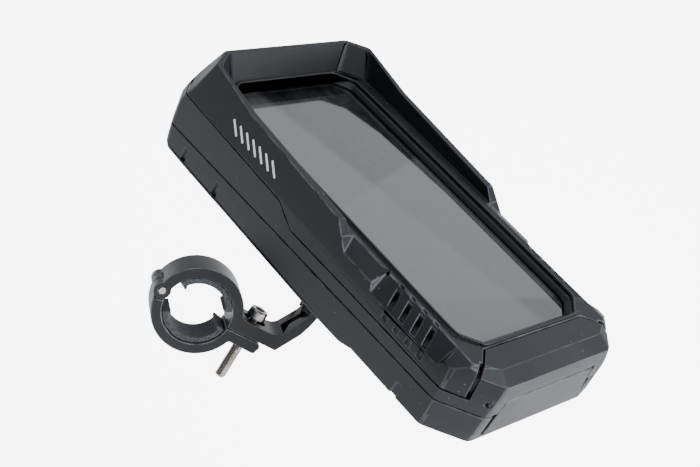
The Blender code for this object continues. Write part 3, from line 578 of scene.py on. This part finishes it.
# ---- softened copies of the CAD solids -------------------------------------------------------------------
@dataclass
class Softener:
    """Copies a CAD solid, rounds its edges and marks the rounded strips.

    Attributes:
        width: radius of the rounding in metres.
        segments: steps across it.
        sharp: edges flatter than this many degrees stay as they are.
    """

    width: float = 0.35 * MM
    segments: int = 2
    sharp: float = 24.0

    def soften(self, source: bpy.types.Object, name: str) -> bpy.types.Object:
        """The softened copy.

        Args:
            source: the CAD node.
            name: name of the copy.

        Returns:
            The new object, with its rounded strips marked for edge wear and a painted highlight.
        """
        bm = bmesh.new()
        bm.from_mesh(source.data)
        bmesh.ops.remove_doubles(bm, verts=bm.verts, dist=0.02 * MM)
        bmesh.ops.dissolve_limit(
            bm, angle_limit=radians(0.8), verts=bm.verts, edges=bm.edges, use_dissolve_boundaries=False
        )
        bmesh.ops.recalc_face_normals(bm, faces=bm.faces)
        mesh = bpy.data.meshes.new(name)
        bm.to_mesh(mesh)
        bm.free()
        mesh.polygons.foreach_set("use_smooth", np.ones(len(mesh.polygons), bool))
        obj = bpy.data.objects.new(name, mesh)
        bpy.context.scene.collection.objects.link(obj)
        bevel = obj.modifiers.new("rounding", "BEVEL")
        bevel.width = self.width
        bevel.segments = self.segments
        bevel.limit_method = "ANGLE"
        bevel.angle_limit = radians(self.sharp)
        bevel.use_clamp_overlap = False
        bevel.miter_outer = "MITER_SHARP"
        weighted = obj.modifiers.new("flat faces stay flat", "WEIGHTED_NORMAL")
        weighted.weight = 90
        bpy.context.view_layer.update()
        graph = bpy.context.evaluated_depsgraph_get()
        rounded = bpy.data.meshes.new_from_object(obj.evaluated_get(graph))
        obj.modifiers.clear()
        obj.data = rounded
        self._mark_strips(rounded)
        return obj

    def _mark_strips(self, mesh: bpy.types.Mesh) -> None:
        """Sets the edge mask on faces about as narrow as the rounding.

        A face's width is taken as its area over half its outline.
        """
        count = len(mesh.polygons)
        area = np.empty(count)
        mesh.polygons.foreach_get("area", area)
        starts = np.empty(count, int)
        mesh.polygons.foreach_get("loop_start", starts)
        edge_of = np.empty(len(mesh.loops), int)
        mesh.loops.foreach_get("edge_index", edge_of)
        ends = np.empty(len(mesh.edges) * 2, int)
        mesh.edges.foreach_get("vertices", ends)
        points = np.empty(len(mesh.vertices) * 3)
        mesh.vertices.foreach_get("co", points)
        points = points.reshape(-1, 3)
        ends = ends.reshape(-1, 2)
        length = np.linalg.norm(points[ends[:, 0]] - points[ends[:, 1]], axis=1)
        outline = np.add.reduceat(length[edge_of], starts)
        width = 2 * area / np.maximum(outline, 1e-9)
        mask = np.clip(1.6 - width / self.width, 0.0, 1.0)
        attribute = mesh.attributes.new(Mask.EDGE.value, "FLOAT", "FACE")
        attribute.data.foreach_set("value", mask.astype(np.float32))


@dataclass
class CaseShells:
    """The rear shell, the lid frame, the hood, the film and the flap."""

    shop: Workshop
    soft: Softener = field(default_factory=lambda: Softener(0.45 * MM, 2, 20.0))
    fine: Softener = field(default_factory=lambda: Softener(0.18 * MM, 2, 20.0))

    def build(self) -> None:
        """Makes every moulding of the case."""
        for node, tool in (("rear_shell", self.soft), ("lid_frame", self.fine), ("latch_flap", self.soft)):
            piece = tool.soften(self.shop.frame["nodes"][node], f"{node}_moulding")
            self.shop.place(piece, node)
        hood = self.soft.soften(self.shop.frame["nodes"]["hood_bezel"], "hood_moulding")
        self._mark_painted_lit_inside(hood.data)
        self.shop.place(hood, "hood_bezel")
        for node in ("window_film", "phone_tray", "swivel_retainer", "lid_gasket", "film_seal"):
            piece = self.fine.soften(self.shop.frame["nodes"][node], f"{node}_finished")
            self.shop.place(piece, node)

    @staticmethod
    def _mark_painted_lit_inside(mesh: bpy.types.Mesh) -> None:
        """Sets the inside mask on the faces of the hood that look across the window; the hood's finish paints
        them lighter, a painted light on the inner walls.
        """
        low, high = (np.array(corner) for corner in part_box("window_film"))
        middle = (low + high) / 2
        count = len(mesh.polygons)
        centre, normal = np.empty(count * 3), np.empty(count * 3)
        mesh.polygons.foreach_get("center", centre)
        mesh.polygons.foreach_get("normal", normal)
        centre, normal = centre.reshape(-1, 3) - middle, normal.reshape(-1, 3)
        across = -(centre * normal)[:, :2].sum(axis=1) / np.linalg.norm(centre[:, :2], axis=1)
        inside = (across > 0.25) & (centre[:, 2] > 0.2 * MM) & (centre[:, 1] > -0.5 * (high - low)[1])
        attribute = mesh.attributes.new(Mask.INSIDE.value, "FLOAT", "FACE")
        attribute.data.foreach_set("value", inside.astype(np.float32))


@dataclass
class HoodMarks:
    """Seven slanted pale strokes on the hood's left wall.

    Lengths along the case are measured from the middle of the case, and heights from the bezel's base plane.

    Attributes:
        shop: the frame and the finishes.
        count: how many strokes.
        pitch: distance between them along the case.
        width: width of a stroke.
        proud: how far the paint stands off the wall.
        upper: upper end of the first stroke, along the case and in height.
        lower: its lower end.
        half: half the width of the case where the wall begins to lean.
        lean: how far the wall leans in for each unit of height.
    """

    shop: Workshop
    count: int = 7
    pitch: float = 4.73 * MM
    width: float = 1.15 * MM
    proud: float = 0.10 * MM
    upper: tuple[float, float] = (62.9 * MM, 4.5 * MM)
    lower: tuple[float, float] = (57.4 * MM, -0.7 * MM)
    half: float = 50.5 * MM
    lean: float = 0.157

    def build(self) -> None:
        """Lays the strokes on the leaning wall: x = middle - half + lean (z + 5 mm) - height of the paint."""
        low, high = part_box("window_film")
        middle_x, middle_y = (low[0] + high[0]) / 2, (low[1] + high[1]) / 2 - 2 * MM
        base_z = high[2] + 0.3 * MM
        paint = self._paint()
        for index in range(self.count):
            back = np.array([index * self.pitch, 0.0])
            flat = self._stroke(np.array(self.upper) - back, np.array(self.lower) - back)
            along, rise, paint_height = np.moveaxis(flat, -1, 0)
            x = middle_x - self.half + self.lean * (rise + 5 * MM) - paint_height
            rows = np.stack([x, middle_y + along, base_z + rise + self.lean * paint_height], axis=-1)
            mark = smoothed(grid_mesh(f"hood_stroke_{index + 1}", rows[:, ::-1]))
            self.shop.place(mark, "hood_bezel", replace=False)
            mark.data.materials[0] = paint

    def _stroke(self, start: np.ndarray, end: np.ndarray) -> np.ndarray:
        """A round-ended stroke with a crowned edge.

        The outline is a stadium: p(t) = c + a sgn(cos t) d + r (cos t d + sin t n). Rows shrink it towards
        the middle as the height rises.

        Args:
            start: its upper end, along the case and in height.
            end: its lower end.

        Returns:
            Points of shape (rows, columns, 3): along the case, height, and height of the paint.
        """
        reach, direction = np.linalg.norm(end - start), (end - start) / np.linalg.norm(end - start)
        normal, centre = np.array([-direction[1], direction[0]]), (start + end) / 2
        turn = np.linspace(0, 2 * pi, 48, endpoint=False) + pi / 96
        radius, straight = self.width / 2, (reach - self.width) / 2
        rows = []
        for height, scale in ((-0.8, 1.0), (0.5, 1.0), (0.85, 0.93), (1.0, 0.8), (1.0, 0.3)):
            spine = centre + np.sign(np.cos(turn))[:, None] * straight * direction
            outline = spine + radius * scale * (
                np.cos(turn)[:, None] * direction + np.sin(turn)[:, None] * normal
            )
            rows.append(np.column_stack([outline, np.full(len(turn), self.proud * height)]))
        return np.array(rows)

    @staticmethod
    def _paint() -> bpy.types.Material:
        """Pale bluish paint with a faint mottle."""
        made = bpy.data.materials.new("stroke_paint")
        made.use_nodes = True
        nodes = NodeTree(made.node_tree)
        shader = made.node_tree.nodes["Principled BSDF"]
        place = nodes.add("ShaderNodeTexCoord").outputs["Object"]
        patch = nodes.ramp(nodes.noise(place, 900.0, 3.0), 0.35, 0.7)
        nodes.link(nodes.blend(patch, (0.86, 0.93, 0.97), (0.76, 0.84, 0.90)), shader.inputs["Base Color"])
        shader.inputs["Roughness"].default_value = 0.5
        return made


@dataclass
class WindowBead:
    """The rounded bead that runs round the window, under the hood.

    Attributes:
        shop: the frame and the finishes.
        inset: how far the opening's edge lies inside the film's box, in x and y.
        corner: length of the corner chamfers.
        radius: radius of the bead.
        grow: distance of the bead outside the opening.
        lift: height of its centre over the film's top face.
    """

    shop: Workshop
    inset: float = 2.5 * MM
    corner: float = 7.0 * MM
    radius: float = 0.75 * MM
    grow: float = 3.1 * MM
    lift: float = 4.05 * MM

    def build(self) -> None:
        """Makes the bead and rides it on the lid."""
        path = self._path()
        after, before = np.roll(path, -1, axis=0), np.roll(path, 1, axis=0)
        along = after - before
        along /= np.linalg.norm(along, axis=1)[:, None]
        across = np.column_stack([along[:, 1], -along[:, 0], np.zeros(len(path))])
        turn = np.linspace(0, 2 * pi, 16, endpoint=False)
        rings = (
            path[:, None]
            + self.radius * np.cos(turn)[None, :, None] * across[:, None]
            + self.radius * np.sin(turn)[None, :, None] * np.array((0.0, 0.0, 0.8))
        )
        bead = smoothed(self._closed("window_bead", rings), 60.0)
        self.shop.place(bead, "hood_bezel", replace=False)
        # The bead takes the hood's lighter inside colour, a painted light.
        attribute = bead.data.attributes.new(Mask.INSIDE.value, "FLOAT", "FACE")
        attribute.data.foreach_set("value", np.ones(len(bead.data.polygons), np.float32))

    def _path(self) -> np.ndarray:
        """Points round a chamfered rectangle whose corners are eased.

        Each side is sampled evenly, then the closed path is smoothed by averaging with its neighbours.
        """
        low, high = (np.array(corner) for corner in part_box("window_film"))
        middle, half = (low + high) / 2, (high - low) / 2 - self.inset + self.grow
        x, y, c = half[0], half[1], self.corner + 0.6 * self.grow
        corners = np.array(
            [(x - c, -y), (x, c - y), (x, y - c), (x - c, y), (c - x, y), (-x, y - c), (-x, c - y), (c - x, -y)]
        )
        after = np.roll(corners, -1, axis=0)
        share = np.linspace(0, 1, 24, endpoint=False)[None, :, None]
        flat = (corners[:, None] * (1 - share) + after[:, None] * share).reshape(-1, 2)
        for _ in range(4):
            flat = (np.roll(flat, 1, axis=0) + 2 * flat + np.roll(flat, -1, axis=0)) / 4
        return np.column_stack([flat + middle[:2], np.full(len(flat), high[2] + self.lift)])

    @staticmethod
    def _closed(name: str, rings: np.ndarray) -> bpy.types.Object:
        """A tube whose last ring joins its first.

        Args:
            name: name of the new object.
            rings: points of shape (rings, columns, 3).

        Returns:
            The new object, at the origin.
        """
        count, columns = rings.shape[:2]
        i, j = np.meshgrid(np.arange(count), np.arange(columns), indexing="ij")
        k, m = (j + 1) % columns, (i + 1) % count
        quads = np.stack([i * columns + j, m * columns + j, m * columns + k, i * columns + k], -1)
        mesh = bpy.data.meshes.new(name)
        mesh.from_pydata(rings.reshape(-1, 3).tolist(), [], quads.reshape(-1, 4).tolist())
        mesh.update()
        obj = bpy.data.objects.new(name, mesh)
        bpy.context.scene.collection.objects.link(obj)
        return obj


@dataclass
class Clamp:
    """The arm, the jaw, the shims and the pin."""

    shop: Workshop

    def build(self) -> None:
        """Makes the clamp's castings, its pin and its rubber."""
        for node, width in (("clamp_arm", 0.28 * MM), ("clamp_jaw", 0.5 * MM)):
            casting = Softener(width, 2, 26.0)
            piece = casting.soften(self.shop.frame["nodes"][node], f"{node}_casting")
            self.shop.place(piece, node)
        rubber = Softener(0.35 * MM, 2, 30.0)
        for node in ("upper_shim", "lower_shim"):
            piece = rubber.soften(self.shop.frame["nodes"][node], f"{node}_rubber")
            self.shop.place(piece, node)
        pin = Softener(0.3 * MM, 2, 40.0).soften(self.shop.frame["nodes"]["clamp_pin"], "clamp_pin_turned")
        self.shop.place(pin, "clamp_pin")


@dataclass
class ClampScrew:
    """The socket-head screw, with its knurled head, hexagon socket and thread.

    Attributes:
        shop: the frame and the finishes.
        head: radius of the head.
        shank: radius over the thread.
        pitch: rise of one turn of the thread.
        depth: depth of the thread.
        flat: half the width of the socket across its flats.
    """

    shop: Workshop
    head: float = 4.25 * MM
    shank: float = 2.5 * MM
    pitch: float = 0.8 * MM
    depth: float = 0.50 * MM
    flat: float = 2.0 * MM

    def build(self) -> None:
        """Makes the screw as one closed surface about its own axis."""
        node = self.shop.frame["nodes"]["clamp_screw"]
        axis = np.array(self.shop.joint("screw_travel")["axis"], float)
        axis /= np.linalg.norm(axis)
        points = frame_points(node)
        heights = points @ axis
        tip, top = heights.min(), heights.max()
        rim = points[heights > top - 0.05 * MM]
        centre = (rim.min(axis=0) + rim.max(axis=0)) / 2
        centre = centre - axis * (centre @ axis)
        side = np.cross(axis, (0.0, 0.0, 1.0))
        side /= np.linalg.norm(side)
        other = np.cross(axis, side)
        radius, height = self._surface(tip, top)
        turn = np.linspace(0, 2 * pi, radius.shape[1], endpoint=False)
        rows = (
            centre
            + height[..., None] * axis
            + radius[..., None] * (np.cos(turn)[None, :, None] * side + np.sin(turn)[None, :, None] * other)
        )
        self.shop.place(smoothed(grid_mesh("clamp_screw_turned", rows), 38.0), "clamp_screw")

    def _surface(self, tip: float, top: float) -> tuple[np.ndarray, np.ndarray]:
        """Radius and height over the screw, from its tip up, round the head and down into the socket.

        Thread: r = R - d (1 - |2 frac(h / p - t / 2 pi) - 1|). Knurl: r = R + a cos(44 t).
        Socket: r = f / cos((t mod 60 deg) - 30 deg).
        """
        turn = np.linspace(0, 2 * pi, 176, endpoint=False)
        under = top - 4.4 * MM
        threaded = np.arange(tip + 0.7 * MM, under - 1.2 * MM, self.pitch / 7)
        wave = np.abs(2 * np.mod(threaded[:, None] / self.pitch - turn[None] / (2 * pi), 1.0) - 1)
        thread = self.shank - self.depth * wave
        hexagon = self.flat / np.cos(np.mod(turn, pi / 3) - pi / 6)
        knurl = self.head + 0.07 * MM * np.cos(44 * turn)
        plain = np.ones_like(turn)
        rows = [(0.6 * MM * plain, tip), (1.9 * MM * plain, tip), (2.05 * MM * plain, tip + 0.15 * MM)]
        rows += [(line, h) for line, h in zip(thread, threaded)]
        rows += [
            (2.3 * MM * plain, under - 0.9 * MM),
            (2.5 * MM * plain, under - 0.7 * MM),
            (2.5 * MM * plain, under),
            ((self.head - 0.25 * MM) * plain, under),
            ((self.head - 0.05 * MM) * plain, under + 0.15 * MM),
            (self.head * plain, under + 0.3 * MM),
            (knurl, under + 0.5 * MM),
            (knurl, under + 3.3 * MM),
            (self.head * plain, under + 3.5 * MM),
            ((self.head - 0.04 * MM) * plain, top - 0.45 * MM),
            ((self.head - 0.40 * MM) * plain, top - 0.06 * MM),
            ((self.head - 0.55 * MM) * plain, top),
            (hexagon + 0.28 * MM, top),
            (hexagon + 0.05 * MM, top - 0.18 * MM),
            (hexagon, top - 0.4 * MM),
            (hexagon, top - 2.3 * MM),
            (hexagon * 0.4, top - 2.7 * MM),
        ]
        radius = np.array([row for row, _ in rows])
        height = np.array([np.full(len(turn), h) for _, h in rows])
        return radius, height


@dataclass
class BallJoint:
    """The ball, its liner, the collet and the knurled locking ring."""

    shop: Workshop

    def build(self) -> None:
        """Makes the pieces between the arm and the case."""
        fine = Softener(0.3 * MM, 2, 28.0)
        nodes = self.shop.frame["nodes"]
        for node in ("ball_stud", "ball_liner", "ball_socket", "locking_ring"):
            self.shop.place(fine.soften(nodes[node], f"{node}_finished"), node)


@dataclass
class Fasteners:
    """The small screws and pins."""

    shop: Workshop

    def build(self) -> None:
        """Softens every remaining metal piece."""
        fine = Softener(0.15 * MM, 2, 30.0)
        for node, slot in self.shop.slot_of.items():
            small = node.startswith(("tray_screw", "cover_screw", "retainer_screw"))
            if slot == Slot.STEEL.value and (small or node in ("lid_hinge_pin", "latch_pin")):
                piece = fine.soften(self.shop.frame["nodes"][node], f"{node}_turned")
                self.shop.place(piece, node, Slot.BLACK_METAL if node == "latch_pin" else None)


@dataclass
class FoamPads:
    """The foam round the phone: rounded blocks with a slightly crowned face."""

    shop: Workshop
    inset: float = 0.2 * MM

    def build(self) -> None:
        """Replaces each plain pad by a crowned one."""
        pads = [node for node, slot in self.shop.slot_of.items() if slot == Slot.FOAM.value]
        for node in pads:
            low, high = (np.array(corner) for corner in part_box(node))
            pad = smoothed(grid_mesh(f"{node}_foam", self._surface(low, high)), 60.0)
            self.shop.place(pad, node)

    def _surface(self, low: np.ndarray, high: np.ndarray) -> np.ndarray:
        """A rounded block: x = a sgn(cos t) |cos t|^e c(s), with c(s) = |cos s|^e and z = h sgn(sin s) |sin s|^e.

        The small exponent e squares the ellipse, so the block keeps flat faces and round edges.
        """
        middle, half = (low + high) / 2, (high - low) / 2 - self.inset
        turn = np.linspace(0, 2 * pi, 128, endpoint=False)
        climb = np.linspace(-pi / 2, pi / 2, 34)[1:-1]

        def squared(value: np.ndarray, power: float) -> np.ndarray:
            return np.sign(value) * np.abs(value) ** power

        spread = squared(np.cos(climb), 0.22)[:, None]
        x = half[0] * spread * squared(np.cos(turn), 0.16)[None]
        y = half[1] * spread * squared(np.sin(turn), 0.16)[None]
        z = half[2] * squared(np.sin(climb), 0.35)[:, None] * np.ones_like(turn)[None]
        return np.stack([x, y, z], axis=-1) + middle


# ---- studio ------------------------------------------------------------------------------------------------
@dataclass
class Studio:
    """Camera, lights, world and floor."""

    target: Vector
    floor_z: float

    def build(self) -> None:
        """Sets the whole studio."""
        self._camera()
        self._world()
        self._lights()
        self._floor()

    @staticmethod
    def _camera() -> None:
        """A long lens above the left front corner, rolled so that the case lies on a diagonal."""
        right = Vector((0.7122, -0.5994, 0.3653))
        up = Vector((0.1628, 0.6473, 0.7446))
        back = right.cross(up).normalized()
        up = back.cross(right).normalized()
        turn = Matrix((right.normalized(), up, back)).transposed().to_4x4()
        lens = bpy.data.cameras.new("camera")
        lens.lens = 68.5
        lens.sensor_width = 36.0
        lens.clip_start = 0.01
        camera = bpy.data.objects.new("camera", lens)
        bpy.context.scene.collection.objects.link(camera)
        camera.matrix_world = Matrix.Translation((-0.3475, -0.2971, 0.3761)) @ turn
        bpy.context.scene.camera = camera

    @staticmethod
    def _world() -> None:
        """A pale room, bright above and to the right and dim to the left.

        Radiance: dim + (bright - dim) ramp(d . aim), with d the direction looked in.
        """
        world = bpy.data.worlds.new("studio")
        world.use_nodes = True
        nodes = NodeTree(world.node_tree)
        background = world.node_tree.nodes["Background"]
        towards = nodes.add("ShaderNodeVectorMath", operation="DOT_PRODUCT")
        nodes.link(nodes.add("ShaderNodeTexCoord").outputs["Generated"], towards.inputs[0])
        towards.inputs[1].default_value = (0.62, -0.30, 0.72)
        share = nodes.ramp(towards.outputs["Value"], -0.35, 0.65)
        colour = nodes.blend(share, (0.10, 0.10, 0.11), (1.12, 1.13, 1.15))
        nodes.link(colour, background.inputs["Color"])
        background.inputs["Strength"].default_value = 1.0
        bpy.context.scene.world = world

    def _lights(self) -> None:
        """Soft boxes: one overhead that whitens the floor, and one in front for the latch end."""
        for name, place, size, power in (
            ("overhead", (0.45, 0.20, 1.2), 1.1, 11.0),
            ("front", (0.45, -1.0, 0.30), 0.7, 8.0),
            ("front_top", (0.20, -1.0, 0.95), 0.8, 20.0),
            ("kicker", (-0.62, -0.95, 0.02), 0.45, 0.7),
        ):
            lamp = bpy.data.lights.new(name, "AREA")
            lamp.size = size
            lamp.energy = power
            light = bpy.data.objects.new(name, lamp)
            bpy.context.scene.collection.objects.link(light)
            light.location = place
            light.visible_glossy = name != "overhead"
            aim = self.target - Vector(place)
            light.rotation_euler = aim.to_track_quat("-Z", "Y").to_euler()

    def _floor(self) -> None:
        span = np.linspace(-4.0, 4.0, 9)
        x, y = np.meshgrid(span, span, indexing="ij")
        points = np.stack([x, y, np.full_like(x, self.floor_z)], axis=-1).reshape(-1, 3)
        i, j = np.meshgrid(np.arange(8), np.arange(8), indexing="ij")
        corner = (i * 9 + j).reshape(-1)
        faces = np.stack([corner, corner + 9, corner + 10, corner + 1], axis=-1)
        mesh = bpy.data.meshes.new("floor")
        mesh.from_pydata(points.tolist(), [], faces.tolist())
        floor = bpy.data.objects.new("floor", mesh)
        bpy.context.scene.collection.objects.link(floor)
        made = bpy.data.materials.new("floor")
        made.use_nodes = True
        nodes = NodeTree(made.node_tree)
        shader = made.node_tree.nodes["Principled BSDF"]
        place = nodes.add("ShaderNodeTexCoord").outputs["Object"]
        patch = nodes.noise(place, 2.0, 2.0)
        nodes.link(nodes.blend(patch, (0.93, 0.93, 0.93), (0.95, 0.95, 0.95)), shader.inputs["Base Color"])
        shader.inputs["Roughness"].default_value = 0.9
        shader.inputs["Specular IOR Level"].default_value = 0.1
        seen = nodes.add("ShaderNodeLightPath").outputs["Is Camera Ray"]
        nodes.link(nodes.blend(seen, (0.0, 0.0, 0.0), (1.0, 1.0, 1.0)), shader.inputs["Emission Color"])
        shader.inputs["Emission Strength"].default_value = 6.0
        mesh.materials.append(made)
        floor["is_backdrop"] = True


def lookups(record: dict) -> tuple[dict[str, str], dict[str, str]]:
    """Which body and which material slot each node has.

    Args:
        record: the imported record.

    Returns:
        (body of each node, slot of each node).
    """
    bodies = {node: body for body, nodes in record["behaviour"]["bodies"].items() for node in nodes}
    slots = {part["node"]: part["material_slot"] for part in record["subparts"]}
    return bodies, slots


def plain_box(bounds: tuple) -> list[list[float]]:
    """A box as plain lists.

    Args:
        bounds: its lowest and highest corner.

    Returns:
        The two corners as lists of numbers.
    """
    return [[float(value) for value in corner] for corner in bounds]


def main() -> None:
    """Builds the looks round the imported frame."""
    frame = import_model()
    cad_box = plain_box(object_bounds())
    bodies, slots = lookups(frame["record"])
    shop = Workshop(frame, Paintbox(), bodies, slots)
    for part in (CaseShells, HoodMarks, WindowBead, Clamp, ClampScrew, BallJoint, Fasteners, FoamPads):
        part(shop).build()
        log.info("%s done", part.__name__)
    low, high = (Vector(corner) for corner in cad_box)
    Studio((low + high) / 2, low.z - 0.16).build()


if __name__ == "__main__":
    main()
